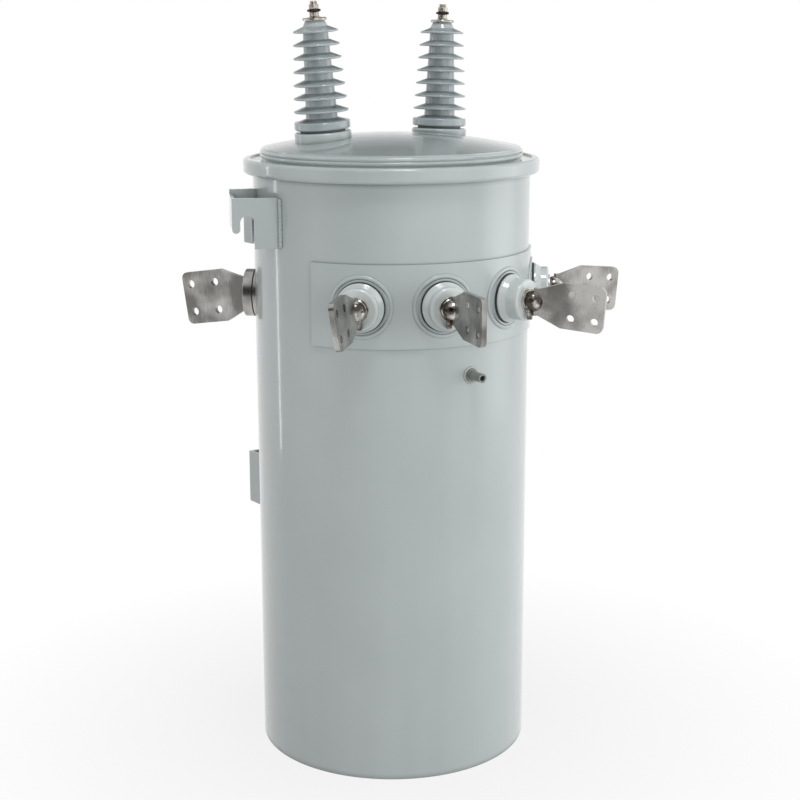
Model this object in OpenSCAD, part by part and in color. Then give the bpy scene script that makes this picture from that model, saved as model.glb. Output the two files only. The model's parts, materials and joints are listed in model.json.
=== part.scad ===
// Pole mounted distribution transformer, single phase, with a round tank.
// Millimetres. The origin is the centre of the tank's underside, +Z is up,
// the low-voltage front faces -Y and the pole side faces +Y.

/* [Tank] */
// Outside diameter of the tank
tank_d = 530; // [500:1:580]
// Height of the tank wall's top edge
tank_h = 1137; // [1000:1:1300]
// Thickness of the tank wall and the cover
wall = 3; // [2:0.5:5]
// Thickness of the floor plate
floor_t = 6; // [4:0.5:10]

/* [Cover and clamp band] */
// Height of the clamp band
band_h = 28.5; // [24:0.5:36]
// How far the clamp band stands out from the tank wall
band_out = 17.5; // [14:0.5:24]
// How far the clamp band's lips reach over the rims
band_lip = 13.5; // [10:0.5:15]
// Thickness of the clamp band
band_t = 3; // [2:0.5:4]
// Room between the clamp band and the rims that it holds
band_clear = 0.3; // [0.2:0.1:0.6]
// Radius of the clamp band's outer corners
band_corner = 7; // [4:0.5:9]
// Opening between the two ends of the clamp band
band_gap = 14; // [8:1:20]
// Length of the clamp band's two ears
ear_l = 26; // [22:1:34]
// Thickness of the ears
ear_t = 6; // [4:0.5:8]
// Diameter of the clamp bolt
clamp_bolt_d = 12; // [8:1:14]
// Distance of the clamp bolt from the band
clamp_bolt_out = 15.5; // [13:0.5:18]
// Room round the clamp bolt in its holes
clamp_clear = 1; // [0.5:0.5:2]
// Width of the clamp bolt's head and nut across their corners
clamp_hex_d = 21; // [18:0.5:22]
// Height of the clamp bolt's head
clamp_head_t = 8; // [6:0.5:10]
// Height of the clamp bolt's nut
clamp_nut_t = 10; // [8:0.5:12]
// Length of the clamp bolt past its nut
clamp_tail = 10; // [4:1:16]
// Thickness of the ring gasket under the cover
cover_gasket_t = 4; // [2:0.5:6]
// Distance of the cover's bead from the tank wall
bead_in = 14.5; // [12:0.5:24]
// Height of the double bead round the cover
bead_h = 15; // [12:0.5:20]
// Radius of each of the bead's two ridges
ridge_r = 4.25; // [3.5:0.25:5]
// Height of the dome's edge above the bead
dome_step = 7; // [4:0.5:10]
// Rise of the dome above its edge
dome_rise = 26; // [20:1:40]

/* [Low-voltage bushings] */
// Distance of the four front terminals below the tank wall's top edge
lv_drop = 222; // [180:1:260]
// Angle between two neighbouring front terminals
lv_step_angle = 32.25; // [29:0.25:33]
// Height of the pad that carries the front terminals
pad_h = 153; // [130:1:170]
// Length of the pad past its outer terminals, as an angle
pad_end_angle = 21; // [16:0.5:24]
// Thickness of the pad
pad_t = 4; // [3:0.5:6]
// Height of a drawn boss above the pad
boss_h = 2.5; // [1.5:0.5:6]
// Diameter of a boss where it meets the gasket
boss_d = 100; // [96:1:104]
// Radius of the fillet round a boss
boss_fillet = 6.5; // [4:0.5:8]
// Thickness of a bushing's gasket
lv_gasket_t = 2.5; // [1:0.5:3]
// How far a gasket stays inside its collar
lv_gasket_in = 1; // [0.5:0.5:5]
// Diameter of the hole in a gasket
lv_gasket_hole_d = 30; // [20:1:40]
// Diameter of a bushing's collar
collar_d = 89; // [84:1:94]
// Height of a bushing's collar
collar_h = 6; // [4:0.5:9]
// Height of the cone between a bushing's collar and its body
collar_cone_h = 9; // [5:0.5:12]
// Chamfer of a bushing's collar
collar_chamfer = 1.5; // [0.5:0.1:2]
// Diameter of a bushing's body
body_d = 77; // [66:1:80]
// Length of a bushing from its gasket to its outer end
body_l = 29.5; // [24:0.5:36]
// Length of the third bushing, which stands out further
body_3_l = 40.5; // [30:0.5:46]
// Radius of a bushing's outer lip
body_lip = 5; // [3:0.5:8]

/* [Spade terminals] */
// Diameter of a terminal's washer
washer_d = 46; // [42:1:52]
// Thickness of a terminal's washer
washer_t = 2.5; // [2:0.5:4]
// Diameter of the ball that holds a spade
ball_d = 39; // [34:1:42]
// Height of the ball's centre above its washer
ball_h = 8; // [0:0.5:12]
// Width of a spade
spade_w = 85; // [80:1:92]
// Width of a spade's neck at the ball
neck_w = 49; // [40:1:56]
// Length of a spade's neck before it widens
neck_l = 9.75; // [7:0.25:12]
// Thickness of a spade
spade_t = 9.5; // [8:0.5:12]
// Distance from the ball's centre to the middle of the holes
spade_reach = 95; // [86:0.5:104]
// Distance between the holes of a spade
hole_pitch = 44.45; // [42:0.05:46]
// Diameter of the holes of a spade
hole_d = 14.3; // [11:0.1:16]
// Distance from the holes to the outer edge of a spade
hole_edge = 17; // [13:0.5:20]
// Distance from the holes to the taper of the neck
hole_neck = 17; // [13:0.5:20]
// Radius of a spade's outer corners
spade_corner = 12; // [6:0.5:14]
// Diameter of the screw under a ball
screw_d = 10; // [6:0.5:12]
// Length of the screw under a ball
screw_l = 7; // [4:0.5:12]

/* [Side terminal] */
// Angle of the side terminal from the front
side_angle = -133.5; // [-146:0.5:-126]
// Distance of the side terminal below the tank wall's top edge
side_drop = 242; // [200:1:280]
// How far the side terminal's spade points downward
side_droop_angle = 8.5; // [0:0.5:12]
// Diameter of the side terminal's body
side_body_d = 93; // [84:1:100]
// Length of the side terminal's body
side_body_l = 18.5; // [14:0.5:30]
// Height of the side terminal's seat above the wall
side_boss_h = 2; // [1:0.5:5]
// Radius of the outer edge of the side terminal's body
side_lip = 2; // [1:0.5:4]
// Height of the side terminal's ball above its washer
side_ball_h = -10; // [-14:0.5:6]
// Width of the side terminal's spade
side_spade_w = 104; // [98:1:112]
// Width of the side terminal's neck at the ball
side_neck_w = 62; // [54:1:70]
// Distance from the side terminal's ball to the middle of its holes
side_reach = 103.5; // [96:0.5:122]
// Distance between the side terminal's holes
side_pitch = 55.5; // [50:0.1:60]
// Distance from the side terminal's holes to its outer edge
side_edge = 18.5; // [15:0.5:24]
// Diameter of the side terminal's holes
side_hole_d = 16; // [14:0.1:19]

/* [High-voltage bushings] */
// Distance of a bushing from the tank axis, to the left or right
hv_x = 137; // [124:1:150]
// Distance of the bushings from the tank axis, towards the pole
hv_back = 28; // [0:1:50]
// Outward lean of the left bushing
hv_left_lean_angle = 4.3; // [0:0.1:6]
// Outward lean of the right bushing
hv_right_lean_angle = 2; // [0:0.1:6]
// Height of the clamp ring under the left bushing
hv_left_ring_h = 15.5; // [12:0.5:20]
// Height of the clamp ring under the right bushing
hv_right_ring_h = 11; // [10:0.5:20]
// Diameter of the metal ring that clamps a bushing
clamp_d = 107; // [102:1:114]
// Radius of the clamp ring's upper edge
clamp_corner = 5; // [3:0.5:7]
// Thickness of the gasket under a bushing
hv_gasket_t = 4; // [2:0.1:6]
// Diameter of the gasket under a bushing
hv_gasket_d = 84; // [70:1:90]
// Diameter of the thick bottom shed
skirt_d = 105; // [98:1:110]
// Height of the thick bottom shed
skirt_h = 15; // [12:0.5:20]
// Radius of the thick bottom shed's corners
skirt_corner = 3; // [2:0.5:5]
// Distance from the thick shed to the first thin one
skirt_gap = 16.4; // [13:0.1:20]
// Number of thin sheds
sheds = 7; // [5:1:8]
// Distance between two thin sheds
shed_pitch = 24.1; // [20:0.1:27]
// Height of a shed's slope
shed_rise = 11; // [8:0.5:14]
// Radius of a shed's rim
shed_rim = 2; // [1.5:0.1:3]
// Diameter of the top shed
shed_top_d = 84; // [74:1:92]
// Diameter of the lowest thin shed
shed_low_d = 103; // [94:1:106]
// Diameter of the core at the bottom
core_low_d = 60; // [54:1:66]
// Diameter of the core at the top shed
core_top_d = 46; // [42:1:54]
// Diameter of the bushing's top
head_d = 36; // [32:1:40]
// Length of the head above the top shed
head_l = 21; // [16:0.5:26]
// Diameter of the stud's washer
stud_washer_d = 45.6; // [40:0.1:50]
// Thickness of the stud's washer
stud_washer_t = 5; // [3:0.5:7]
// Diameter of the stud
stud_d = 14; // [10:0.5:16]
// Length of the stud above the washer
stud_l = 30; // [27:0.5:40]
// Width of the stud's nuts across their corners
stud_nut_d = 20; // [18:0.5:24]
// Height of the lower nut
stud_nut_h = 11; // [8:0.5:12]
// Diameter of the plate between the nuts
stud_plate_d = 25; // [22:0.5:30]
// Thickness of the plate between the nuts
stud_plate_t = 4; // [2:0.5:5]
// Height of the upper nut
stud_top_nut_h = 9; // [7:0.5:11]

/* [Lifting lugs] */
// Direction of the lugs from the front
lug_angle = 118.5; // [114:0.5:122]
// Distance of the lugs' top edge below the tank wall's top edge
lug_drop = 36; // [32:1:52]
// Distance of a lug's front cheek from the tank's middle plane
lug_front = 140; // [132:1:148]
// Distance between the outer faces of a lug's two cheeks
lug_w = 100; // [84:1:112]
// How far a lug's web stands out from the tank wall
lug_out = 47; // [42:1:56]
// Height of a lug at the wall
lug_h = 93; // [84:1:100]
// How much higher a lug's rear cheek stands
lug_rise = 8; // [4:1:12]
// Height of a lug's outer web below the top edge
prong_h = 64; // [56:1:72]
// Width of a lug's outer prong
prong_w = 15; // [12:1:18]
// Width of a lug's notch
notch_w = 25.5; // [22:0.5:30]
// Depth of a lug's notch below the top edge
notch_z = 32; // [28:1:44]
// Thickness of the lug plate
lug_t = 6; // [4:0.5:8]

/* [Pole hangers] */
// Distance of the upper hanger's bolt below the tank wall's top edge
hanger_drop = 106.5; // [90:0.5:130]
// Height between the two hangers' bolts
hanger_step = 549; // [520:1:570]
// Width of a hanger
hanger_w = 280; // [260:1:300]
// Height of a hanger
hanger_h = 109; // [90:1:120]
// Distance from the tank wall to a hanger's outer face
hanger_out = 53; // [46:1:70]
// Thickness of the hanger plate
hanger_t = 8; // [6:0.5:10]
// Diameter of a hanger's bolt hole
hanger_hole_d = 22; // [18:0.5:26]

/* [Ground boss] */
// Angle of the ground boss from the front
ground_angle = -3.4; // [-8:0.2:8]
// Distance of the ground boss below the terminal pad
ground_drop = 56.5; // [40:0.5:90]
// Length of the ground boss from the wall
ground_l = 36; // [26:1:45]
// Outside diameter of the ground boss
ground_d = 17; // [15:0.5:22]
// Diameter of the hole in the ground boss
ground_hole_d = 10.5; // [6:0.1:11]
// Solid length behind the hole in the ground boss
ground_floor = 8; // [6:0.5:12]
// Diameter of the collar at the root of the ground boss
ground_collar_d = 25; // [24:0.5:32]
// Height of the collar at the root of the ground boss
ground_collar_h = 5; // [3:0.5:7]

/* [Hidden] */
$fn = 96;
wall_fn = 360;

paint = [0.68, 0.72, 0.72];
porcelain = [0.70, 0.74, 0.74];
steel = [0.62, 0.60, 0.58];
rubber = [0.08, 0.08, 0.08];

// Room that a cut needs past the face it opens
past = 1;

// Stack of tank rim, gasket and cover rim inside the clamp band
tank_r = tank_d / 2;
rim_r = tank_r + band_out - band_t - band_clear;
rim_t = (band_h - 2 * band_t - cover_gasket_t) / 2;
gasket_z = tank_h + rim_t;
cover_z = gasket_z + cover_gasket_t;
cover_top = cover_z + rim_t;
band_z = tank_h - band_t;
held_corner = max(band_corner - band_t, 0.5);

// The cover's dome is part of a sphere
bead_r = tank_r - bead_in;
dome_r = bead_r - ridge_r;
dome_z = cover_top + bead_h + dome_step;
sphere_r = (dome_r * dome_r + dome_rise * dome_rise) / (2 * dome_rise);
sphere_z = dome_z + dome_rise - sphere_r;

// Heights of what is on the wall, measured down from the tank wall's top edge
lv_z = tank_h - lv_drop;
side_z = tank_h - side_drop;
lug_z = tank_h - lug_drop;
hanger_z = tank_h - hanger_drop;
ground_z = lv_z - pad_h / 2 - ground_drop;

// Front terminals 1 to 4 from left to right, then the side terminal
lv_angles = [-1.5 * lv_step_angle, -0.5 * lv_step_angle, 0.5 * lv_step_angle, 1.5 * lv_step_angle,
             side_angle];
// How each spade was left: turned about its own axis, and swung to the side and down about its ball
lv_rolls = [8, 0, 4, 0, 0];
lv_swings = [-2, 0.5, 18, 25, -18];
lv_droops = [3, 1, 5.5, 5, side_droop_angle];
pad_span = 3 * lv_step_angle + 2 * pad_end_angle;
pad_r = tank_r + pad_t;

// Lengths along one terminal's own axis, from its seat on the boss
function is_side(i) = i == 4;
function body_d_of(i) = is_side(i) ? side_body_d : body_d;
function body_l_of(i) = is_side(i) ? side_body_l : i == 2 ? body_3_l : body_l;
function collar_d_of(i) = is_side(i) ? side_body_d : collar_d;
function lip_of(i) = is_side(i) ? side_lip : body_lip;
function seat_r_of(i) = is_side(i) ? tank_r + side_boss_h : pad_r + boss_h;
function washer_u(i) = lv_gasket_t + body_l_of(i);
function ball_seat_u(i) = washer_u(i) + washer_t;
function ball_h_of(i) = is_side(i) ? side_ball_h : ball_h;
function reach_of(i) = is_side(i) ? side_reach : spade_reach;
function spade_w_of(i) = is_side(i) ? side_spade_w : spade_w;
function neck_w_of(i) = is_side(i) ? side_neck_w : neck_w;
function edge_of(i) = is_side(i) ? side_edge : hole_edge;
function pitch_of(i) = is_side(i) ? side_pitch : hole_pitch;
function hole_d_of(i) = is_side(i) ? side_hole_d : hole_d;

// Heights along a high-voltage bushing, from the top of its clamp ring
skirt_u = hv_gasket_t;
first_shed_u = skirt_u + skirt_h + skirt_gap;
last_shed_u = first_shed_u + (sheds - 1) * shed_pitch;
head_u = last_shed_u + head_l;

// Moves to the tank wall: local +Z points outward and local +Y up
module on_wall(angle, z) {
    rotate([0, 0, angle]) translate([0, 0, z]) rotate([90, 0, 0]) children();
}

// Places one low-voltage terminal's piece, which is drawn from its boss's face along its own axis
module at_terminal(i) {
    on_wall(lv_angles[i], is_side(i) ? side_z : lv_z) translate([0, 0, seat_r_of(i)]) children();
}

// Places one high-voltage bushing's piece from the dome; side is -1 or 1
module at_hv(side) {
    lean = side < 0 ? hv_left_lean_angle : hv_right_lean_angle;
    seat = sphere_z + sqrt(sphere_r * sphere_r - hv_x * hv_x - hv_back * hv_back);
    translate([side * hv_x, hv_back, seat]) rotate([0, side * lean, 0]) children();
}

// The same place, at the top of the clamp ring
module on_hv_ring(side) {
    at_hv(side) translate([0, 0, side < 0 ? hv_left_ring_h : hv_right_ring_h]) children();
}

// The space inside the tank wall's outer face, which is cut from what is welded to it
module tank_body() {
    cylinder(r = tank_r, h = tank_h, $fn = wall_fn);
}

// Rectangle with two round outer corners, for the clamp band's section and for what it holds
module band_outline(w, h, corner) {
    square([w - corner, h]);
    translate([0, corner]) square([w, h - 2 * corner]);
    for (y = [corner, h - corner]) translate([w - corner, y]) circle(r = corner);
}

// One of the two rims inside the clamp band, from a radius outward and from a height up
module held_slice(from_r, from_z) {
    intersection() {
        translate([from_r, from_z]) square([rim_r - from_r, rim_t]);
        translate([from_r, tank_h]) band_outline(rim_r - from_r, band_h - 2 * band_t, held_corner);
    }
}

module tank_floor() {
    color(paint) cylinder(r = tank_r, h = floor_t);
}

module tank_shell() {
    color(paint) {
        difference() {
            translate([0, 0, floor_t]) cylinder(r = tank_r, h = gasket_z - floor_t);
            cylinder(r = tank_r - wall, h = gasket_z + past);
        }
        rotate_extrude() held_slice(tank_r - wall, tank_h);
    }
}

module cover_gasket() {
    color(rubber) translate([0, 0, gasket_z]) difference() {
        cylinder(r = rim_r, h = cover_gasket_t);
        translate([0, 0, -past]) cylinder(r = tank_r - wall, h = cover_gasket_t + 2 * past);
    }
}

// Outline of the cover's raised part: dome and double bead, drawn inward by an amount
module cover_outline(inward) {
    intersection() {
        translate([0, sphere_z]) circle(r = sphere_r - inward, $fn = 256);
        translate([0, cover_z - past]) square([dome_r - inward, sphere_r]);
    }
    translate([0, cover_z - past]) square([dome_r - inward, dome_z - cover_z + past - inward]);
    for (y = [bead_h / 2, bead_h]) translate([dome_r - inward, cover_top + y]) circle(r = ridge_r);
}

module cover() {
    color(paint) rotate_extrude() {
        intersection() {
            difference() {
                cover_outline(0);
                cover_outline(wall);
            }
            translate([0, cover_z]) square([bead_r, sphere_r]);
        }
        held_slice(dome_r - wall, cover_z);
    }
}

module clamp_band() {
    gap_angle = 2 * asin(band_gap / 2 / (tank_r + band_out));
    ear_h = band_h - 2 * band_t;
    color(paint) {
        rotate([0, 0, 90 + gap_angle / 2]) rotate_extrude(angle = 360 - gap_angle)
            translate([tank_r + band_out - band_lip, band_z]) difference() {
                band_outline(band_lip, band_h, band_corner);
                translate([-past, band_t])
                    band_outline(band_lip - band_t + past, band_h - 2 * band_t, held_corner);
            }
        for (side = [-1, 1])
            translate([side * (band_gap + ear_t) / 2, tank_r + band_out - band_t, band_z + band_h / 2])
                difference() {
                    translate([-ear_t / 2, 0, -ear_h / 2]) cube([ear_t, ear_l, ear_h]);
                    translate([0, clamp_bolt_out, 0]) rotate([0, 90, 0])
                        cylinder(d = clamp_bolt_d + clamp_clear, h = ear_t + 2 * past, center = true);
                }
    }
}

module clamp_bolt() {
    grip = band_gap + 2 * ear_t;
    color(steel) translate([0, tank_r + band_out - band_t + clamp_bolt_out, band_z + band_h / 2])
        rotate([0, 90, 0]) translate([0, 0, -grip / 2 - clamp_head_t]) {
            cylinder(d = clamp_bolt_d, h = clamp_head_t + grip + clamp_nut_t + clamp_tail);
            cylinder(d = clamp_hex_d, h = clamp_head_t, $fn = 6);
            translate([0, 0, clamp_head_t + grip]) cylinder(d = clamp_hex_d, h = clamp_nut_t, $fn = 6);
        }
}

// Flared drawn boss under a front terminal's gasket, reaching back into the wall
module boss() {
    base_r = boss_d / 2 + boss_fillet;
    back = boss_h + pad_t + tank_r - sqrt(tank_r * tank_r - base_r * base_r) + past;
    rotate_extrude() difference() {
        translate([0, -back]) square([base_r, back]);
        translate([base_r, 0]) circle(r = boss_fillet);
    }
}

module terminal_pad() {
    color(paint) difference() {
        union() {
            translate([0, 0, lv_z - pad_h / 2]) rotate([0, 0, -90 - pad_span / 2])
                rotate_extrude(angle = pad_span, $fn = wall_fn)
                    translate([tank_r - past, 0]) square([pad_t + past, pad_h]);
            for (i = [0:3]) at_terminal(i) boss();
        }
        tank_body();
    }
}

// Straight seat of the side terminal, reaching back into the wall
module side_boss() {
    r = side_body_d / 2;
    back = side_boss_h + tank_r - sqrt(tank_r * tank_r - r * r) + past;
    color(paint) difference() {
        at_terminal(4) translate([0, 0, -back]) cylinder(r = r, h = back);
        tank_body();
    }
}

module lv_gasket(i) {
    color(rubber) at_terminal(i) difference() {
        cylinder(d = collar_d_of(i) - 2 * lv_gasket_in, h = lv_gasket_t);
        translate([0, 0, -past]) cylinder(d = lv_gasket_hole_d, h = lv_gasket_t + 2 * past);
    }
}

module lv_bushing(i) {
    collar_r = collar_d_of(i) / 2;
    body_r = body_d_of(i) / 2;
    length = body_l_of(i);
    lip = lip_of(i);
    color(is_side(i) ? steel : porcelain) at_terminal(i) translate([0, 0, lv_gasket_t]) rotate_extrude() {
        polygon([[0, 0], [collar_r - collar_chamfer, 0], [collar_r, collar_chamfer],
                 [collar_r, collar_h - collar_chamfer], [collar_r - collar_chamfer, collar_h],
                 [body_r, collar_h + collar_cone_h], [0, collar_h + collar_cone_h]]);
        square([body_r, length - lip]);
        square([body_r - lip, length]);
        translate([body_r - lip, length - lip]) circle(r = lip);
    }
}

module lv_washer(i) {
    color(steel) at_terminal(i) translate([0, 0, washer_u(i)]) cylinder(d = washer_d, h = washer_t);
}

// Outline of a spade from its ball outward along +X, with a tapered neck and round outer corners
module spade_outline(i) {
    half = spade_w_of(i) / 2;
    neck = neck_w_of(i) / 2;
    shoulder = reach_of(i) - pitch_of(i) / 2 - hole_neck;
    end = reach_of(i) + pitch_of(i) / 2 + edge_of(i);
    polygon([[0, -neck], [neck_l, -neck], [shoulder, -half],
             [end - spade_corner, -half], [end, spade_corner - half],
             [end, half - spade_corner], [end - spade_corner, half],
             [shoulder, half], [neck_l, neck], [0, neck]]);
    for (side = [-1, 1])
        translate([end - spade_corner, side * (half - spade_corner)]) circle(r = spade_corner);
}

// What lies outside a terminal's washer, from its middle outward along +Z
module past_washer(i) {
    reach = reach_of(i) + pitch_of(i);
    intersection() {
        children();
        translate([-reach, -reach, 0]) cube(2 * reach);
    }
}

// The flat of a spade with its holes, from the ball's centre, and the screw under the ball
module spade_plate(i) {
    difference() {
        rotate([0, -90, 0]) linear_extrude(spade_t, center = true) spade_outline(i);
        for (v = [-1, 1], u = [-1, 1])
            translate([0, v * pitch_of(i) / 2, reach_of(i) + u * pitch_of(i) / 2])
                rotate([0, 90, 0]) cylinder(d = hole_d_of(i), h = spade_t + 2 * past, center = true);
    }
    if (!is_side(i))
        translate([0, past - ball_d / 2, screw_d / 2]) rotate([90, 0, 0])
            cylinder(d = screw_d, h = screw_l + past);
}

module lv_spade(i) {
    color(steel) at_terminal(i) translate([0, 0, ball_seat_u(i)]) {
        past_washer(i) translate([0, 0, ball_h_of(i)]) sphere(d = ball_d);
        past_washer(i) translate([0, 0, ball_h_of(i)]) rotate([0, lv_swings[i], 0])
            rotate([lv_droops[i], 0, 0]) rotate([0, 0, lv_rolls[i]]) spade_plate(i);
    }
}

// Ring that clamps a high-voltage bushing, cut to the dome below it
module hv_clamp(side) {
    ring_h = side < 0 ? hv_left_ring_h : hv_right_ring_h;
    r = clamp_d / 2;
    back = clamp_d / 4;
    color(paint) difference() {
        at_hv(side) rotate_extrude() {
            translate([0, -back]) square([r, back + ring_h - clamp_corner]);
            translate([0, -back]) square([r - clamp_corner, back + ring_h]);
            translate([r - clamp_corner, ring_h - clamp_corner]) circle(r = clamp_corner);
        }
        translate([0, 0, sphere_z]) sphere(r = sphere_r, $fn = 256);
    }
}

module hv_gasket(side) {
    color(rubber) on_hv_ring(side) cylinder(d = hv_gasket_d, h = hv_gasket_t);
}

// One thin shed: sloping top, round rim and flat underside
module shed(d, core) {
    edge = d / 2 - shed_rim;
    polygon([[0, 0], [edge, 0], [edge, 2 * shed_rim], [core / 2, shed_rise], [0, shed_rise]]);
    translate([edge, shed_rim]) circle(r = shed_rim, $fn = 32);
}

module hv_bushing(side) {
    color(porcelain) on_hv_ring(side) rotate_extrude() {
        translate([0, skirt_u]) {
            square([skirt_d / 2 - skirt_corner, skirt_h]);
            translate([0, skirt_corner]) square([skirt_d / 2, skirt_h - 2 * skirt_corner]);
            for (y = [skirt_corner, skirt_h - skirt_corner])
                translate([skirt_d / 2 - skirt_corner, y]) circle(r = skirt_corner);
        }
        polygon([[0, skirt_u], [skirt_d / 2 - skirt_corner, skirt_u + skirt_h - skirt_corner / 4],
                 [core_low_d / 2, skirt_u + skirt_h + shed_rise / 2],
                 [core_top_d / 2, last_shed_u + shed_rise], [head_d / 2, head_u], [0, head_u]]);
        for (i = [0:sheds - 1]) {
            part = i / (sheds - 1);
            translate([0, first_shed_u + i * shed_pitch])
                shed(shed_low_d + part * (shed_top_d - shed_low_d),
                     core_low_d + part * (core_top_d - core_low_d));
        }
    }
}

module hv_terminal(side) {
    nut_u = stud_washer_t;
    plate_u = nut_u + stud_nut_h;
    top_nut_u = plate_u + stud_plate_t;
    color(steel) on_hv_ring(side) translate([0, 0, head_u]) {
        cylinder(d = stud_washer_d, h = stud_washer_t);
        cylinder(d = stud_d, h = stud_washer_t + stud_l);
        translate([0, 0, nut_u]) cylinder(d = stud_nut_d, h = stud_nut_h, $fn = 6);
        translate([0, 0, plate_u]) cylinder(d = stud_plate_d, h = stud_plate_t);
        translate([0, 0, top_nut_u]) cylinder(d = stud_nut_d, h = stud_top_nut_h, $fn = 6);
    }
}

// Cheek of a lifting lug, outward along +X from the tank axis, with its notch below
// and its top edge at y = rise
module lug_cheek(rise) {
    end = tank_r + lug_out;
    notch_u = end - prong_w - notch_w / 2;
    difference() {
        translate([tank_r / 2, -lug_h]) square([end - tank_r / 2, lug_h + rise]);
        translate([notch_u, -lug_h - past])
            square([end - notch_u + past, lug_h - prong_h + prong_w / 2 + past]);
        translate([notch_u - notch_w / 2, -lug_h - past])
            square([notch_w, lug_h + past - notch_z - notch_w / 2]);
        translate([notch_u, -notch_z - notch_w / 2]) circle(d = notch_w);
    }
    translate([end - prong_w / 2, prong_w / 2 - prong_h]) circle(d = prong_w);
}

module left_lug() {
    rotate([0, 0, -90 - lug_angle]) translate([0, 0, lug_z]) {
        translate([0, lug_front, 0]) rotate([90, 0, 0]) linear_extrude(lug_t) lug_cheek(0);
        translate([0, lug_front - lug_w + lug_t, 0]) rotate([90, 0, 0]) linear_extrude(lug_t)
            lug_cheek(lug_rise);
        translate([tank_r + lug_out - lug_t, lug_front - lug_w + lug_t / 2, prong_w / 2 - prong_h])
            cube([lug_t, lug_w - lug_t, prong_h - prong_w / 2]);
    }
}

module lifting_lug(side) {
    color(paint) difference() {
        mirror([side < 0 ? 0 : 1, 0, 0]) left_lug();
        tank_body();
    }
}

module hanger(z) {
    face = tank_r + hanger_out;
    root = sqrt(tank_r * tank_r - hanger_w * hanger_w / 4) - hanger_t;
    color(paint) translate([0, 0, z]) difference() {
        union() {
            translate([-hanger_w / 2, face - hanger_t, -hanger_h / 2]) cube([hanger_w, hanger_t, hanger_h]);
            for (x = [-hanger_w / 2, hanger_w / 2 - hanger_t])
                translate([x, root, -hanger_h / 2]) cube([hanger_t, face - root, hanger_h]);
        }
        translate([0, 0, -z]) tank_body();
        translate([0, face + past, 0]) rotate([90, 0, 0])
            cylinder(d = hanger_hole_d, h = hanger_t + 2 * past);
    }
}

module ground_boss() {
    color(steel) difference() {
        on_wall(ground_angle, ground_z) translate([0, 0, tank_r]) {
            translate([0, 0, -ground_collar_h]) cylinder(d = ground_d, h = ground_l + ground_collar_h);
            translate([0, 0, -ground_collar_h]) cylinder(d = ground_collar_d, h = 2 * ground_collar_h);
        }
        on_wall(ground_angle, ground_z) translate([0, 0, tank_r + ground_floor])
            cylinder(d = ground_hole_d, h = ground_l);
        tank_body();
    }
}

tank_floor();
tank_shell();
cover_gasket();
cover();
clamp_band();
clamp_bolt();
terminal_pad();
side_boss();
for (i = [0:4]) {
    lv_gasket(i);
    lv_bushing(i);
    lv_washer(i);
    lv_spade(i);
}
for (side = [-1, 1]) {
    name = side < 0 ? "left" : "right";
    hv_clamp(side);
    hv_gasket(side);
    hv_bushing(side);
    hv_terminal(side);
    lifting_lug(side);
}
hanger(hanger_z);  // hanger_upper
hanger(hanger_z - hanger_step);  // hanger_lower
ground_boss();
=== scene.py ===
"""Dresses the pole mounted transformer with paint, glaze, plated metal, weld beads and threads."""
import json
import math
import random

import bmesh
import bpy
from mathutils import Matrix, Vector


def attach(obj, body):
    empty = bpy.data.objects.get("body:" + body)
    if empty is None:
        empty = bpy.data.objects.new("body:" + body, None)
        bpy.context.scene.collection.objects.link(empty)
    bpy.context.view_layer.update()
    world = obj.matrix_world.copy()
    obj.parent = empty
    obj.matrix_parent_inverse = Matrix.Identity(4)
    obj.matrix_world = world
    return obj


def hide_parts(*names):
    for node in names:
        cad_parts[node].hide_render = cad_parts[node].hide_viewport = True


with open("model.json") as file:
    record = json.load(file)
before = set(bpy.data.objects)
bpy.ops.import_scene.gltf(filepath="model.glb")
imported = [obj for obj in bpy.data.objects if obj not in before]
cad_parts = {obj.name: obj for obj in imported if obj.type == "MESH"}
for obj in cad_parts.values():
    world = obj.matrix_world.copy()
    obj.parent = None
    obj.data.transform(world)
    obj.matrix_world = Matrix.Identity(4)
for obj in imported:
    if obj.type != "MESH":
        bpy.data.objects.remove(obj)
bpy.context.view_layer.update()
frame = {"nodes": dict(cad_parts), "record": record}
scene = bpy.context.scene
scene.view_settings.view_transform = "Standard"

MM = 0.001

# Sizes that the added pieces share with the solids, in metres
TANK_R = 265 * MM
TANK_H = 1137 * MM
LUG_TURN = math.radians(-208.5)
LUG_FRONT = 140 * MM
LUG_REAR = 40 * MM
LUG_FOOT = 1008 * MM
LUG_TOP = 1101 * MM
LUG_REAR_TOP = 1109 * MM
HANGER_HALF = 140 * MM
HANGER_T = 8 * MM
HANGER_H = 109 * MM
HANGER_HEIGHTS = {"upper": 1030.5 * MM, "lower": 481.5 * MM}
GROUND_ANGLE = math.radians(-3.4)
GROUND_Z = 782 * MM
GROUND_COLLAR_R = 12.5 * MM
BOLT_Y = 295 * MM
BOLT_Z = 1148.25 * MM
BOSS_FACE = 271.5 * MM
BOSS_R = 54 * MM
PAD_R = 268.6 * MM

# The seat of each tall bushing on the cover, its lean in degrees, and the reach from the seat to its stud
STUD_SEATS = {"left": (-137 * MM, 28 * MM, 1199.18 * MM, -4.3, 216.5 * MM),
              "right": (137 * MM, 28 * MM, 1199.18 * MM, 2.0, 212 * MM)}

# Each low-voltage terminal: degrees round the tank, reach of the bushing's end, and height
TERMINALS = ((-48.375, 303.5 * MM, 915 * MM),
             (-16.125, 303.5 * MM, 915 * MM),
             (16.125, 314.5 * MM, 915 * MM),
             (48.375, 303.5 * MM, 915 * MM),
             (-133.5, 288 * MM, 895 * MM))
FRONT_TERMINALS = TERMINALS[:4]

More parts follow.
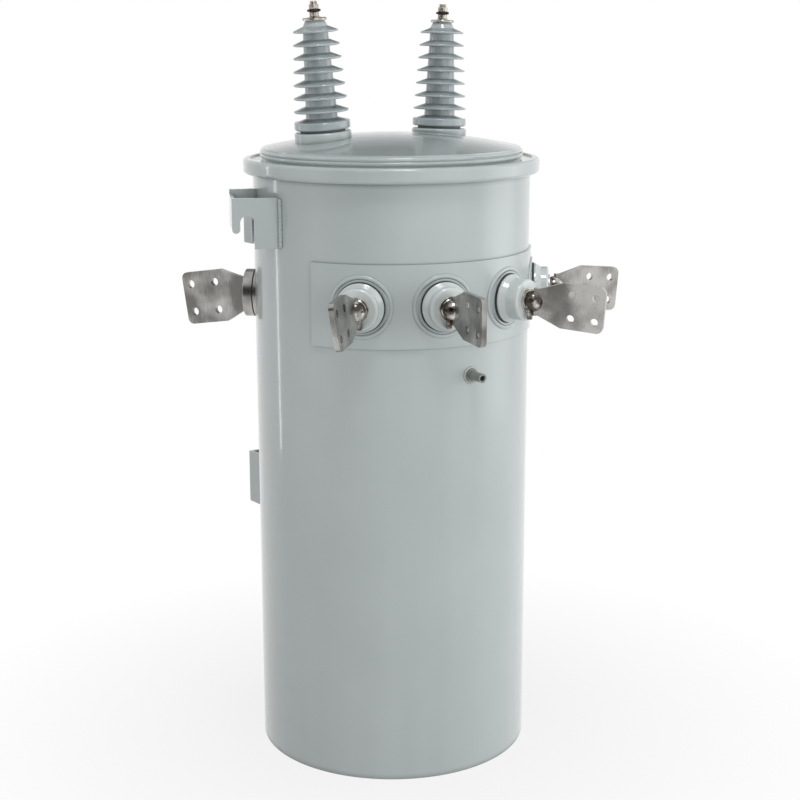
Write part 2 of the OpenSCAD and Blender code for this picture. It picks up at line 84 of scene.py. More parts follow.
# Turned shapes, as (radius, height) in millimetres
STUD_WASHER = ((20.6, 0), (22.4, 0.7), (22.8, 1.6), (22.8, 3.2), (22.2, 4.4), (20.8, 5.0), (14.0, 5.0))
STUD_COLLAR = ((11.2, 4.9), (11.6, 5.3), (11.6, 6.0), (11.0, 6.4))
CUP_WASHER = ((10, 0.05), (22.4, 0.05), (23.0, 0.6), (23.0, 1.9), (22.5, 2.5), (21.7, 2.5), (21.0, 1.7),
              (19.6, 1.1), (18.4, 1.2), (17.6, 1.9), (10, 1.9))
KNOB_FOOT = ((17.0, -7.9), (18.1, -7.9), (18.3, -7.2), (17.9, -6.7))
SET_PIN = ((4.2, 15.0), (4.2, 20.6), (5.3, 21.2), (5.3, 31.6), (4.8, 33.2), (3.4, 34.0))
HEAD_WASHER = ((10.2, -14.5), (10.5, -14.1), (10.5, -13.3), (10.2, -13.0))
BOLT_SHANK = ((6.0, -13.2), (6.0, 13.2))
NUT_WASHER = ((10.2, 13.0), (10.5, 13.3), (10.5, 14.1), (10.2, 14.5))
ROUND_SIDES = 72
FINE_SIDES = 96

# Hexagons and threads, in millimetres
HEX_CHAMFER = 1.3
HEX_END = 0.97
STUD_HEX = 20
BOLT_HEX = 21
THREAD_PITCH = 1.75
THREAD_DEPTH = 0.9
THREAD_TIP = 1.2
THREAD_SIDES = 40
STEPS_A_PITCH = 8

# The browned clamp plate of a stud, in millimetres: (height, inset) of its edges, and its pointed side
PLATE_EDGES = ((15.9, 0.7), (16.5, 0), (19.5, 0), (20.1, 0.7))
PLATE_R = 12.5
PLATE_POINT_R = 17.0
PLATE_POINT_RISE = 3.4
PLATE_POINT_TURN = math.radians(-110)
PLATE_POINT_SHARE = 0.88

# The balls in millimetres and degrees, and their set pins in metres
KNOB_R = 19.7
KNOB_FIRST = -19
KNOB_SWEEP = 108
KNOB_STEPS = 24
KNOB_CREASE = 50
KNOB_LIFT = 10.5 * MM
PIN_BACK = 2.5 * MM
PIN_SIDES = (7 * MM, -7 * MM, -7 * MM, 7 * MM)
PIN_FACETS = 48

# The rubber lips, in millimetres
LIP_R = 44.2
LIP_HEIGHT = 1.6
LIP_WIDE = 1.9
LIP_RISE = 1.8
LIP_STEPS = 14
LIP_SIDES = 120

# Weld beads: half width and rise in metres, and how they lie
LUG_BEAD = (5.0 * MM, 4.0 * MM)
HANGER_BEAD = (3.8 * MM, 3.2 * MM)
SEAM_BEAD = (4.5 * MM, 1.2 * MM)
GROUND_BEAD = (2.6 * MM, 2.2 * MM)
SHOULDER_BEAD = (4.6 * MM, 3.8 * MM)
BEAD_STEP = 1.5 * MM
BEAD_ASIDE = 2 * MM
BEAD_LIFT = 0.6 * MM
BEAD_FACETS = 10
BEAD_CREASE = 70
BEAD_TIP = 0.35
BEAD_TIP_GROWTH = 0.25
SEAM_LIFT = 0.1 * MM
SEAM_FOOT = 3 * MM
SEAM_SHORT = 16 * MM
GROUND_BEAD_ASIDE = 1 * MM
GROUND_BEAD_LIFT = 0.4 * MM
WELD_RIPPLE = 0.13
GROUND_RIPPLE = 0.08
RING_STEPS = 96
RIPPLE_TURN = 2 * math.pi * 20 / RING_STEPS
RANDOM = random.Random(7)

# How far sharp edges are eased in each finish, in millimetres
EASED = {"paint": 0.9, "porcelain": 0.0, "lv_porcelain": 0.0, "terminal_metal": 1.3,
         "polished_steel": 0.5, "ground_metal": 0.6, "rubber": 0.0}
EASED_SEGMENTS = 2
EASED_ANGLE = math.radians(38)
JOINED_GAP = 2e-6
CREASE = 35

# Where the camera of the photograph stood, and how it looked
CAMERA_PLACE = Vector((-1.8335, -2.4869, 1.3997))
CAMERA_LOOK = Vector((0.58202, 0.78123, -0.22564))
CAMERA_ROLL = -0.0022
CAMERA_SIGHT = 60
LENS = 72.12
SENSOR = 36.0

WHITE = (1, 1, 1, 1)
PAPER = (0.50, 0.50, 0.50, 1)
FLOOR_R = 14
FLOOR_SIDES = 64
SKY_LEVEL = 0.60
SKY_FALL = 0.46


class Value:
    """A shader socket that takes part in ordinary sums."""

    def __init__(self, board, socket):
        self.board = board
        self.socket = socket

    def sum(self, operation, first, second):
        return self.board.node("ShaderNodeMath", {"operation": operation}, {0: first, 1: second})

    def __add__(self, other):
        return self.sum("ADD", self, other)

    def __radd__(self, other):
        return self.sum("ADD", other, self)

    def __sub__(self, other):
        return self.sum("SUBTRACT", self, other)

    def __rsub__(self, other):
        return self.sum("SUBTRACT", other, self)

    def __mul__(self, other):
        return self.sum("MULTIPLY", self, other)

    def __rmul__(self, other):
        return self.sum("MULTIPLY", other, self)


class Board:
    """A node tree that is filled by calls."""

    def __init__(self, tree):
        self.tree = tree
        tree.nodes.clear()

    def node(self, kind, settings=None, sockets=None, out=0):
        """Adds a node, sets it up, joins its sockets and gives one of its outputs."""
        made = self.tree.nodes.new(kind)
        for name, value in (settings or {}).items():
            if name == "stops":
                for element, (position, grey) in zip(made.color_ramp.elements, value):
                    element.position = position
                    element.color = (grey, grey, grey, 1)
            else:
                setattr(made, name, value)
        for name, value in (sockets or {}).items():
            if isinstance(value, Value):
                self.tree.links.new(value.socket, made.inputs[name])
            else:
                made.inputs[name].default_value = value
        return Value(self, made.outputs[out])

    def places(self, stretch=(1, 1, 1)):
        """The object's own coordinates in metres, squeezed or stretched."""
        raw = self.node("ShaderNodeTexCoord", out="Object")
        return self.node("ShaderNodeVectorMath", {"operation": "MULTIPLY"}, {0: raw, 1: stretch})

    def length(self, vector):
        return self.node("ShaderNodeVectorMath", {"operation": "LENGTH"}, {0: vector}, out=1)

    def larger(self, first, second):
        return self.node("ShaderNodeMath", {"operation": "MAXIMUM"}, {0: first, 1: second})

    def noise(self, place, scale, detail=2.0, roughness=0.5):
        return self.node("ShaderNodeTexNoise", None,
                         {"Vector": place, "Scale": scale, "Detail": detail, "Roughness": roughness})

    def ramp(self, value, first, last):
        """A grey that goes between two stops, each a place on the scale and a grey."""
        return self.node("ShaderNodeValToRGB", {"stops": (first, last)}, {0: value})

    def blend(self, factor, first, second):
        return self.node("ShaderNodeMix", {"data_type": "RGBA"}, {0: factor, 6: first, 7: second}, out=2)

    def painted_crease_shade(self, reach, open_share):
        """Painted shade from ambient occlusion: one deep in creases narrower than the reach in metres, and
        nought where the surface lies open.
        """
        bare = self.node("ShaderNodeAmbientOcclusion", {"samples": 8}, {"Distance": reach}, out="AO")
        return self.ramp(bare, (0.25, 1), (open_share, 0))

    def bump(self, height, strength, distance):
        return self.node("ShaderNodeBump", None,
                         {"Height": height, "Strength": strength, "Distance": distance})

    def glow(self, strength):
        return self.node("ShaderNodeEmission", None, {"Color": WHITE, "Strength": strength})

    def surface(self, sockets):
        """Ends the tree with a principled surface."""
        self.finish(self.node("ShaderNodeBsdfPrincipled", None, sockets))

    def finish(self, shader, kind="ShaderNodeOutputMaterial"):
        last = self.tree.nodes.new(kind)
        self.tree.links.new(shader.socket, last.inputs[0])


def new_material(name):
    material = bpy.data.materials.new(name)
    material.use_nodes = True
    return material, Board(material.node_tree)


def rgb(red, green, blue):
    """A colour written as it shows, from 0 to 255, as linear light."""
    def linear(channel):
        c = channel / 255
        return c / 12.92 if c <= 0.04045 else ((c + 0.055) / 1.055) ** 2.4
    return linear(red), linear(green), linear(blue), 1


def glossy_paint(name, painted_crease_shade):
    """Sprayed enamel: cloudy shade, faint runs, orange peel, a clear gloss and painted shade in the creases.
    """
    material, board = new_material(name)
    clouds = board.noise(board.places(), scale=5.0, detail=3.0, roughness=0.55)
    runs = board.noise(board.places((16, 16, 0.9)), scale=1.0)
    specks = board.ramp(board.noise(board.places(), scale=420.0, detail=1.0), (0.70, 0), (0.78, 1))
    shade = board.ramp(clouds * 0.6 + runs * 0.4, (0.30, 0), (0.70, 1))
    colour = board.blend(shade, rgb(172, 181, 180), rgb(180, 189, 188))
    colour = board.blend(specks * 0.06, colour, rgb(120, 128, 126))
    if painted_crease_shade:
        # Painted shade: ambient occlusion darkens the enamel's colour in creases and recesses.
        shaded_creases = board.painted_crease_shade(reach=0.016, open_share=0.85)
        colour = board.blend(shaded_creases * painted_crease_shade, colour, rgb(78, 84, 84))
    skin = board.noise(board.places(), scale=260.0, roughness=0.45)
    wave = board.noise(board.places(), scale=38.0, detail=1.0)
    haze = board.noise(board.places(), scale=22.0, detail=3.0)
    board.surface({
        "Base Color": colour,
        "Roughness": board.ramp(haze, (0.25, 0.14), (0.8, 0.23)),
        "Normal": board.bump(skin * 0.5 + wave, strength=0.05, distance=0.0006),
        "IOR": 1.46, "Coat Weight": 0.5, "Coat Roughness": 0.05})
    return material


def glazed_porcelain(name, light, dark):
    """Fired glaze: pooled shade, tiny pits, painted shade in the creases and a hard gloss."""
    material, board = new_material(name)
    clouds = board.noise(board.places(), scale=24.0, detail=3.0)
    pits = board.ramp(board.noise(board.places(), scale=700.0, detail=1.0), (0.74, 0), (0.80, 1))
    # Painted shade: ambient occlusion darkens the glaze's colour in the gaps under the sheds and other
    # creases.
    shaded_creases = board.painted_crease_shade(reach=0.022, open_share=0.80)
    colour = board.blend(board.ramp(clouds, (0.32, 0), (0.68, 1)), dark, light)
    colour = board.blend(pits * 0.12, colour, rgb(96, 102, 102))
    colour = board.blend(shaded_creases * 0.35, colour, rgb(84, 92, 94))
    ripple = board.noise(board.places((1, 1, 2.2)), scale=70.0)
    board.surface({
        "Base Color": colour,
        "Roughness": board.ramp(clouds, (0.2, 0.10), (0.8, 0.19)),
        "Normal": board.bump(ripple, strength=0.10, distance=0.0008),
        "IOR": 1.5, "Coat Weight": 0.5, "Coat Roughness": 0.04})
    return material


def plated_metal(name, light, dark, smooth, rough, brush, metal=1.0, cloudy=0.35, patch=16.0):
    """Plated and brushed metal: hairlines along the brushing, stains and cloudy plating; where its greys span
    widely, the clouds are also painted reflections.
    """
    material, board = new_material(name)
    hair = board.noise(board.places(brush), scale=1.0)
    stain_and_reflection = board.noise(board.places(), scale=patch)
    spots = board.ramp(board.noise(board.places(), scale=340.0), (0.66, 0), (0.76, 1))
    spread = 0.17 - 0.10 * cloudy
    shade = board.ramp(hair * (1 - cloudy) + stain_and_reflection * cloudy, (0.5 - spread, 0), (0.5 + spread, 1))
    colour = board.blend(shade, dark, light)
    colour = board.blend(spots * 0.07, colour, rgb(92, 86, 80))
    board.surface({
        "Base Color": colour,
        "Metallic": metal,
        "Roughness": board.ramp(stain_and_reflection * 0.35 + hair * 0.65, (0.3, smooth), (0.7, rough)),
        "Normal": board.bump(hair, strength=0.06, distance=0.0002)})
    return material


def moulded_rubber(name, light, dark):
    """Moulded rubber with a dull bloom."""
    material, board = new_material(name)
    bloom = board.noise(board.places(), scale=90.0, detail=3.0)
    grain = board.noise(board.places(), scale=600.0)
    board.surface({
        "Base Color": board.blend(bloom, dark, light),
        "Roughness": board.ramp(bloom, (0.3, 0.5), (0.7, 0.75)),
        "Normal": board.bump(grain, strength=0.3, distance=0.0002)})
    return material


# The tank's enamel has painted shade in its creases; the cover and band have none.
PAINT = glossy_paint("grey enamel", painted_crease_shade=0.85)
COVER_PAINT = glossy_paint("cover enamel", painted_crease_shade=0)
PORCELAIN = glazed_porcelain("grey glaze", rgb(170, 179, 181), rgb(152, 162, 165))
LV_PORCELAIN = glazed_porcelain("pale glaze", rgb(206, 213, 212), rgb(196, 204, 203))
# Painted reflection, besides cloudy plating: the wide span of greys in big clouds stands in for light and
# dark reflections on the spades.
SPADE_METAL = plated_metal("brushed tin plate", rgb(190, 188, 184), rgb(114, 112, 109),
                           smooth=0.17, rough=0.30, brush=(2600, 2600, 60), metal=0.88, cloudy=0.72)
POLISHED = plated_metal("polished washer", rgb(210, 207, 202), rgb(186, 182, 176),
                        smooth=0.10, rough=0.20, brush=(300, 300, 300))
# Painted reflection: the very dark grey in large clouds stands in for dark surroundings mirrored in the
# balls.
KNOB_METAL = plated_metal("polished ball", rgb(214, 211, 206), rgb(80, 74, 68),
                          smooth=0.10, rough=0.18, brush=(260, 260, 900), cloudy=0.9, patch=42.0)
NICKEL = plated_metal("nickel plate", rgb(206, 200, 192), rgb(160, 152, 142),
                      smooth=0.14, rough=0.30, brush=(500, 500, 90))
DARK_STEEL = plated_metal("browned steel", rgb(74, 66, 60), rgb(38, 34, 31),
                          smooth=0.30, rough=0.52, brush=(400, 400, 120))
GROUND_METAL = plated_metal("stained brass", rgb(146, 150, 145), rgb(116, 119, 114),
                            smooth=0.25, rough=0.45, brush=(400, 400, 400), metal=0.35)
RUBBER = moulded_rubber("black rubber", rgb(44, 45, 46), rgb(20, 21, 22))
SPRAYED_RUBBER = moulded_rubber("oversprayed rubber", rgb(120, 127, 127), rgb(86, 92, 92))

# The finish of each of the record's slots, and of the solids that differ from their slot
FINISHES = {"paint": PAINT, "porcelain": PORCELAIN, "lv_porcelain": LV_PORCELAIN,
            "terminal_metal": SPADE_METAL, "polished_steel": POLISHED, "ground_metal": GROUND_METAL,
            "rubber": RUBBER}
OWN_FINISHES = {"cover": COVER_PAINT, "clamp_band": COVER_PAINT,
                "hv_gasket_left": SPRAYED_RUBBER, "hv_gasket_right": SPRAYED_RUBBER}


def dress_solids():
    """Gives each solid its finish and eases its sharp edges."""
    for part in frame["record"]["subparts"]:
        solid = frame["nodes"][part["node"]]
        slot = part["material_slot"]
        solid.data.materials.clear()
        solid.data.materials.append(OWN_FINISHES.get(part["node"], FINISHES[slot]))
        if EASED[slot]:
            joined = solid.modifiers.new("joined corners", "WELD")
            joined.merge_threshold = JOINED_GAP
            edges = solid.modifiers.new("eased edges", "BEVEL")
            edges.width = EASED[slot] * MM
            edges.segments = EASED_SEGMENTS
            edges.limit_method = "ANGLE"
            edges.angle_limit = EASED_ANGLE
            even = solid.modifiers.new("even shading", "WEIGHTED_NORMAL")
            even.keep_sharp = False


def ring_point(radius, share, height):
    """A point at a share of the turn, from millimetres to metres."""
    turn = 2 * math.pi * share
    return Vector((radius * math.cos(turn), radius * math.sin(turn), height)) * MM


class Turning:
    """Rings of points, joined into closed bodies and then set in place as one piece."""

    def __init__(self):
        self.points = []
        self.faces = []

    def body(self, rings, loop=False):
        """Joins rings of equal count into one closed body; a loop joins its last ring to its first."""
        start = len(self.points)
        count = len(rings[0])
        for ring in rings:
            self.points.extend(Vector(point) for point in ring)
        total = len(rings)
        for row in range(total if loop else total - 1):
            here = start + row * count
            above = start + (row + 1) % total * count
            for k in range(count):
                k2 = (k + 1) % count
                self.faces.append((here + k, here + k2, above + k2, above + k))
        if not loop:
            self.faces.append(tuple(reversed(range(start, start + count))))
            self.faces.append(tuple(range(start + (total - 1) * count, start + total * count)))

    def turned(self, profile, sides=ROUND_SIDES, loop=False):
        """Turns a profile of (radius, height) in millimetres."""
        rings = []
        for radius, height in profile:
            rings.append([ring_point(radius, k / sides, height) for k in range(sides)])
        self.body(rings, loop)

    def hexagon(self, foot, tall, across):
        """A hexagon nut or head with both its ends chamfered, in millimetres over the corners."""
        corner = across / 2
        flat = corner * math.cos(math.pi / 6)
        levels = ((foot, flat * HEX_END), (foot + HEX_CHAMFER, corner),
                  (foot + tall - HEX_CHAMFER, corner), (foot + tall, flat * HEX_END))
        rings = []
        for height, limit in levels:
            ring = []
            for k in range(ROUND_SIDES):
                share = k / ROUND_SIDES
                off = (share * 6) % 1 - 0.5
                ring.append(ring_point(min(limit, flat / math.cos(off * math.pi / 3)), share, height))
            rings.append(ring)
        self.body(rings)

    def thread(self, foot, tall, radius):
        """A threaded rod with a chamfered tip, in millimetres."""
        rings = []
        steps = int(tall / THREAD_PITCH * STEPS_A_PITCH)
        for step in range(steps + 1):
            height = tall * step / steps
            limit = radius - max(0.0, THREAD_TIP - (tall - height))
            ring = []
            for k in range(THREAD_SIDES):
                share = k / THREAD_SIDES
                turn = (height / THREAD_PITCH - share) % 1
                ridge = radius - THREAD_DEPTH * abs(2 * turn - 1)
                ring.append(ring_point(min(limit, ridge), share, foot + height))
            rings.append(ring)
        self.body(rings)

    def swept(self, path, outs, bead, ripple, loop=False):
        """A bead along a path of points, with the ripples of a weld; outs point away from what it lies on."""
        size, rise = bead
        rings = []
        last = len(path) - 1
        for k, point in enumerate(path):
            if loop:
                ahead = path[(k + 1) % len(path)] - path[k - 1]
                end = 1.0
            else:
                ahead = path[min(k + 1, last)] - path[max(k - 1, 0)]
                end = min(1.0, BEAD_TIP + BEAD_TIP_GROWTH * min(k, last - k))
            across = ahead.cross(outs[k]).normalized()
            swell = end * (1 + ripple * math.sin(k * RIPPLE_TURN) + RANDOM.uniform(-ripple, ripple) * 0.5)
            ring = []
            for n in range(BEAD_FACETS):
                turn = 2 * math.pi * n / BEAD_FACETS
                ring.append(point + across * (math.cos(turn) * size * swell)
                            + outs[k] * (math.sin(turn) * rise * swell))
            rings.append(ring)
        self.body(rings, loop)

    def placed(self, place, name, finish, stands_for=None, crease=CREASE):
        """Makes the piece, smooth but for its sharp edges, and lets it ride on the tank."""
        mesh = bpy.data.meshes.new(name)
        mesh.from_pydata([place @ point for point in self.points], [], self.faces)
        shell = bmesh.new()
        shell.from_mesh(mesh)
        bmesh.ops.recalc_face_normals(shell, faces=shell.faces)
        shell.to_mesh(mesh)
        shell.free()
        for face in mesh.polygons:
            face.use_smooth = True
        mesh.set_sharp_from_angle(angle=math.radians(crease))
        mesh.materials.append(finish)
        piece = bpy.data.objects.new(name, mesh)
        scene.collection.objects.link(piece)
        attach(piece, "root")
        if stands_for:
            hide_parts(stands_for)


def stud_sets():
    """The studs on the tall bushings: washer, lower nut, browned clamp plate, top nut and threaded end."""
    for side, (x, y, z, lean, reach) in STUD_SEATS.items():
        place = (Matrix.Translation((x, y, z)) @ Matrix.Rotation(math.radians(lean), 4, "Y")
                 @ Matrix.Translation((0, 0, reach)))
        stud = Turning()
        stud.turned(STUD_WASHER)
        stud.turned(STUD_COLLAR)
        stud.hexagon(foot=6.3, tall=9.7, across=STUD_HEX)
        stud.hexagon(foot=20, tall=9, across=STUD_HEX)
        stud.thread(foot=26, tall=9, radius=7)
        stud.placed(place, "hv_stud_" + side, NICKEL, "hv_terminal_" + side)
        plate = Turning()
        plate.body([plate_edge(height, inset) for height, inset in PLATE_EDGES])
        plate.placed(place, "hv_clamp_plate_" + side, DARK_STEEL)


def plate_edge(height, inset):
    """One edge of a clamp plate: a ring drawn out to a blunt point on one side."""
    ring = []
    for k in range(ROUND_SIDES):
        share = k / ROUND_SIDES
        radius = PLATE_R - inset
        along = math.cos(2 * math.pi * share - PLATE_POINT_TURN)
        if along > PLATE_POINT_SHARE:
            radius = min(radius / along + PLATE_POINT_RISE, PLATE_POINT_R - inset)
        ring.append(ring_point(radius, share, height))
    return ring


def terminal_frame(degrees, reach, z):
    """The frame of a low-voltage terminal: its axis points out of the wall, a reach from the tank's axis."""
    angle = math.radians(degrees)
    out = Vector((math.sin(angle), -math.cos(angle), 0))
    side = Vector((0, 0, 1)).cross(out)
    place = Matrix((side, out.cross(side), out)).transposed().to_4x4()
    place.translation = out * reach + Vector((0, 0, z))
    return place


def cup_washers():
    """The dished washers behind the low-voltage spades, with a bright rim and a turned groove."""
    for number, (degrees, seat, z) in enumerate(TERMINALS, 1):
        cup = Turning()
        cup.turned(CUP_WASHER, FINE_SIDES, loop=True)
        cup.placed(terminal_frame(degrees, seat, z), "cup_washer_%d" % number, POLISHED,
                   "lv_washer_%d" % number)


def knobs():
    """The polished balls of the front terminals, turned with a fine foot groove."""
    profile = list(KNOB_FOOT)
    for step in range(KNOB_STEPS + 1):
        lift = math.radians(KNOB_FIRST + KNOB_SWEEP * step / KNOB_STEPS)
        profile.append((KNOB_R * math.cos(lift), KNOB_R * math.sin(lift)))
    for number, (degrees, seat, z) in enumerate(FRONT_TERMINALS, 1):
        knob = Turning()
        knob.turned(profile, FINE_SIDES)
        knob.placed(terminal_frame(degrees, seat + KNOB_LIFT, z), "knob_%d" % number, KNOB_METAL,
                    crease=KNOB_CREASE)


def set_pins():
    """The short set pins screwed into the balls from below."""
    for number, ((degrees, seat, z), aside) in enumerate(zip(FRONT_TERMINALS, PIN_SIDES), 1):
        pin = Turning()
        pin.turned(SET_PIN, PIN_FACETS)
        down = Matrix.Translation((aside, 0, -PIN_BACK)) @ Matrix.Rotation(math.pi / 2, 4, "X")
        pin.placed(terminal_frame(degrees, seat + KNOB_LIFT, z) @ down, "set_pin_%d" % number, KNOB_METAL)


def gasket_lips():
    """Black rubber pressed out round the feet of the front bushings."""
    profile = []
    for step in range(LIP_STEPS):
        turn = -2 * math.pi * step / LIP_STEPS
        profile.append((LIP_R + LIP_WIDE * math.cos(turn), LIP_HEIGHT + LIP_RISE * math.sin(turn)))
    for number, (degrees, _, z) in enumerate(FRONT_TERMINALS, 1):
        lip = Turning()
        lip.turned(profile, LIP_SIDES, loop=True)
        lip.placed(terminal_frame(degrees, BOSS_FACE, z), "gasket_lip_%d" % number, RUBBER)


def wall_ring(name, angle, z, ring_r, wall_r, bead, ripple):
    """A painted bead that runs in a ring on the curved wall."""
    path = []
    outs = []
    for k in range(RING_STEPS):
        turn = 2 * math.pi * k / RING_STEPS
        across = ring_r * math.cos(turn)
        deep = math.sqrt(wall_r * wall_r - across * across)
        path.append(Vector((across, -deep, ring_r * math.sin(turn))))
        outs.append(Vector((across, -deep, 0)).normalized())
    ring = Turning()
    ring.swept(path, outs, bead, ripple, loop=True)
    place = Matrix.Translation((0, 0, z)) @ Matrix.Rotation(angle, 4, "Z")
    ring.placed(place, name, PAINT, crease=BEAD_CREASE)


def boss_shoulders():
    """The rolled shoulders round the drawn bosses of the terminal pad."""
    for number, (degrees, _, z) in enumerate(FRONT_TERMINALS, 1):
        wall_ring("boss_shoulder_%d" % number, math.radians(degrees), z, BOSS_R, PAD_R, SHOULDER_BEAD,
                  ripple=0)


def band_bolt():
    """The bolt that draws the clamp band together: chamfered head and nut, washers and a threaded end."""
    bolt = Turning()
    bolt.hexagon(foot=-21, tall=6.6, across=BOLT_HEX)
    bolt.turned(HEAD_WASHER)
    bolt.turned(BOLT_SHANK, THREAD_SIDES)
    bolt.turned(NUT_WASHER)
    bolt.hexagon(foot=14.4, tall=8.6, across=BOLT_HEX)
    bolt.thread(foot=22, tall=11, radius=6)
    place = Matrix.Translation((0, BOLT_Y, BOLT_Z)) @ Matrix.Rotation(math.pi / 2, 4, "Y")
    bolt.placed(place, "band_bolt", NICKEL, "clamp_bolt")


def wall_depth(offset):
    """How far the wall lies from the tank's middle plane, at an offset to the side."""
    return math.sqrt(TANK_R * TANK_R - offset * offset)


def upright_bead(shape, x, y, foot, top, bead):
    """Adds a weld bead that runs up the wall."""
    steps = int((top - foot) / BEAD_STEP)
    path = [Vector((x, y, foot + (top - foot) * k / steps)) for k in range(steps + 1)]
    shape.swept(path, [Vector((x, y, 0)).normalized()] * len(path), bead, WELD_RIPPLE)


def weld_beads():
    """Painted weld beads where plates meet the tank wall, and the rolled wall's own seam at the back."""
    for side, flip in (("left", 1), ("right", -1)):
        lug = Turning()
        for face, top in ((LUG_FRONT + BEAD_ASIDE, LUG_TOP), (LUG_REAR - BEAD_ASIDE, LUG_REAR_TOP)):
            upright_bead(lug, wall_depth(face) + BEAD_LIFT, face, LUG_FOOT, top, LUG_BEAD)
        place = Matrix.Diagonal((flip, 1, 1, 1)) @ Matrix.Rotation(LUG_TURN, 4, "Z")
        lug.placed(place, "lug_weld_" + side, PAINT, crease=BEAD_CREASE)
    for name, height in HANGER_HEIGHTS.items():
        hanger = Turning()
        for x in (-HANGER_HALF - BEAD_ASIDE, -HANGER_HALF + HANGER_T + BEAD_ASIDE,
                  HANGER_HALF - HANGER_T - BEAD_ASIDE, HANGER_HALF + BEAD_ASIDE):
            upright_bead(hanger, x, wall_depth(x) + BEAD_LIFT, height - HANGER_H / 2, height + HANGER_H / 2,
                         HANGER_BEAD)
        hanger.placed(Matrix(), "hanger_weld_" + name, PAINT, crease=BEAD_CREASE)
    seam = Turning()
    upright_bead(seam, 0, TANK_R + SEAM_LIFT, SEAM_FOOT, TANK_H - SEAM_SHORT, SEAM_BEAD)
    seam.placed(Matrix(), "wall_seam", PAINT, crease=BEAD_CREASE)
    wall_ring("ground_weld", GROUND_ANGLE, GROUND_Z, GROUND_COLLAR_R + GROUND_BEAD_ASIDE,
              TANK_R + GROUND_BEAD_LIFT, GROUND_BEAD, GROUND_RIPPLE)


def camera():
    """The camera at the photograph's viewing angle."""
    look = CAMERA_LOOK.normalized()
    right = Vector((look.y, -look.x, 0)).normalized()
    up = right.cross(look)
    c, s = math.cos(CAMERA_ROLL), math.sin(CAMERA_ROLL)
    right, up = right * c + up * s, up * c - right * s
    data = bpy.data.cameras.new("camera")
    data.lens = LENS
    data.sensor_width = SENSOR
    data.clip_end = CAMERA_SIGHT
    made = bpy.data.objects.new("camera", data)
    turn = Matrix((right, up, -look)).transposed().to_4x4()
    made.matrix_world = Matrix.Translation(CAMERA_PLACE) @ turn
    scene.collection.objects.link(made)
    scene.camera = made


def studio_spot(turn, distance, height):
    """A place round the transformer: turn in degrees to the right of the camera's own direction."""
    start = math.atan2(CAMERA_PLACE.x, -CAMERA_PLACE.y)
    angle = start + math.radians(turn)
    return Vector((math.sin(angle) * distance, -math.cos(angle) * distance, height))


def soft_light(name, turn, distance, height, width, tall, watts, mirrored=False, aim=0.65):
    """A softbox turned to a height on the tank's axis; mirrors see it only if it is mirrored."""
    data = bpy.data.lights.new(name, "AREA")
    data.shape = "RECTANGLE"
    data.size = width
    data.size_y = tall
    data.energy = watts
    lamp = bpy.data.objects.new(name, data)
    lamp.location = studio_spot(turn, distance, height)
    lamp.rotation_euler = (Vector((0, 0, aim)) - lamp.location).to_track_quat("-Z", "Y").to_euler()
    lamp.visible_glossy = mirrored
    scene.collection.objects.link(lamp)


def mirror_card(name, turn, distance, height, width, tall, strength):
    """A soft-edged card that only mirrors see: dark for a dim room, bright for a lit screen."""
    material, board = new_material(name)
    reach = board.length(board.places((2 / width, 0, 2 / tall)))
    clear = board.node("ShaderNodeBsdfTransparent")
    board.finish(board.node("ShaderNodeMixShader", None, {
        0: board.ramp(reach, (0.35, 1), (1.0, 0)), 1: clear, 2: board.glow(strength)}))
    x, z = width / 2, tall / 2
    mesh = bpy.data.meshes.new(name)
    mesh.from_pydata([(-x, 0, -z), (x, 0, -z), (x, 0, z), (-x, 0, z)], [], [(0, 1, 2, 3)])
    mesh.materials.append(material)
    card = bpy.data.objects.new(name, mesh)
    card.location = studio_spot(turn, distance, height)
    card.rotation_euler = (0, 0, math.atan2(card.location.y, card.location.x) + math.pi / 2)
    card.visible_camera = False
    card.visible_diffuse = False
    card.visible_shadow = False
    scene.collection.objects.link(card)


def straight_rays(board):
    """One for rays from the camera, mirrors or glass, and nought for scattered light."""
    kinds = ("Camera", "Glossy", "Transmission")
    rays = [board.node("ShaderNodeLightPath", out="Is %s Ray" % kind) for kind in kinds]
    return board.node("ShaderNodeClamp", None, {0: rays[0] + rays[1] + rays[2]})


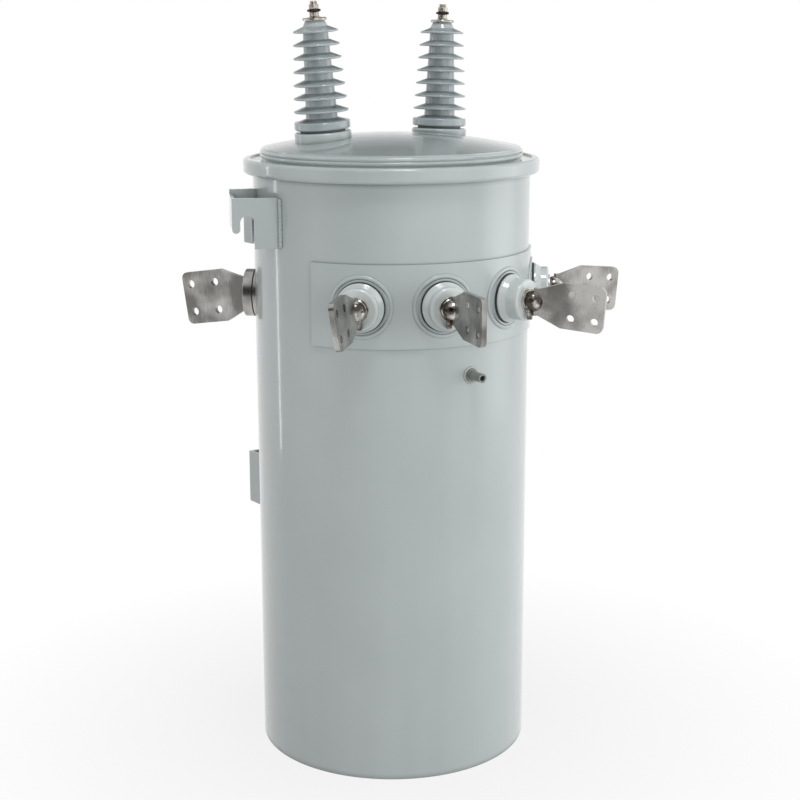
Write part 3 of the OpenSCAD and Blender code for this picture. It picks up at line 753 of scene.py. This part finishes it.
def sky():
    """A world that is white to look at, and lights the object as a plain grey room does."""
    world = bpy.data.worlds.new("studio")
    scene.world = world
    world.use_nodes = True
    board = Board(world.node_tree)
    aim = board.node("ShaderNodeTexCoord", out="Generated")
    up = board.larger(board.node("ShaderNodeSeparateXYZ", None, {0: aim}, out="Z"), 0.0)
    seen = straight_rays(board)
    strength = seen + (1 - seen) * (SKY_LEVEL - up * SKY_FALL)
    shine = board.node("ShaderNodeBackground", None, {"Color": WHITE, "Strength": strength})
    board.finish(shine, "ShaderNodeOutputWorld")


def pale_floor():
    """A floor that is white to look at, with a soft shadow near the tank."""
    material, board = new_material("pale floor")
    near = board.ramp(board.length(board.places()) * 0.4, (0.12, 0.16), (0.40, 0))
    paper = board.node("ShaderNodeBsdfDiffuse", None, {"Color": PAPER})
    part = board.larger(near, 1 - straight_rays(board))
    board.finish(board.node("ShaderNodeMixShader", None, {0: part, 1: board.glow(1.0), 2: paper}))
    bpy.ops.mesh.primitive_circle_add(vertices=FLOOR_SIDES, radius=FLOOR_R, fill_type="NGON",
                                      location=(0, 0, 0))
    floor = bpy.context.object
    floor.name = "floor"
    floor.data.materials.append(material)


def studio():
    """The world, the floor, cards for the mirrors and soft lamps."""
    sky()
    pale_floor()
    mirror_card("far card", turn=180, distance=2.3, height=2.7, width=3.2, tall=2.6, strength=0.03)
    mirror_card("camera side card", turn=-24, distance=4.6, height=2.2, width=8.0, tall=6.4, strength=0.05)
    mirror_card("right screen", turn=96, distance=3.0, height=1.2, width=2.6, tall=4.0, strength=2.0)
    soft_light("right softbox", turn=88, distance=3.0, height=0.3, width=3.2, tall=3.0, watts=74, aim=0.45)
    soft_light("left softbox", turn=-48, distance=3.2, height=1.0, width=2.4, tall=2.6, watts=27)
    soft_light("left strip", turn=-104, distance=2.4, height=1.0, width=0.10, tall=2.2, watts=3,
               mirrored=True)
    soft_light("front softbox", turn=36, distance=3.6, height=1.0, width=2.0, tall=2.0, watts=34)
    soft_light("top softbox", turn=12, distance=1.1, height=3.3, width=0.7, tall=0.7, watts=22,
               mirrored=True, aim=1.2)


camera()
dress_solids()
stud_sets()
cup_washers()
knobs()
set_pins()
gasket_lips()
boss_shoulders()
band_bolt()
weld_beads()
studio()
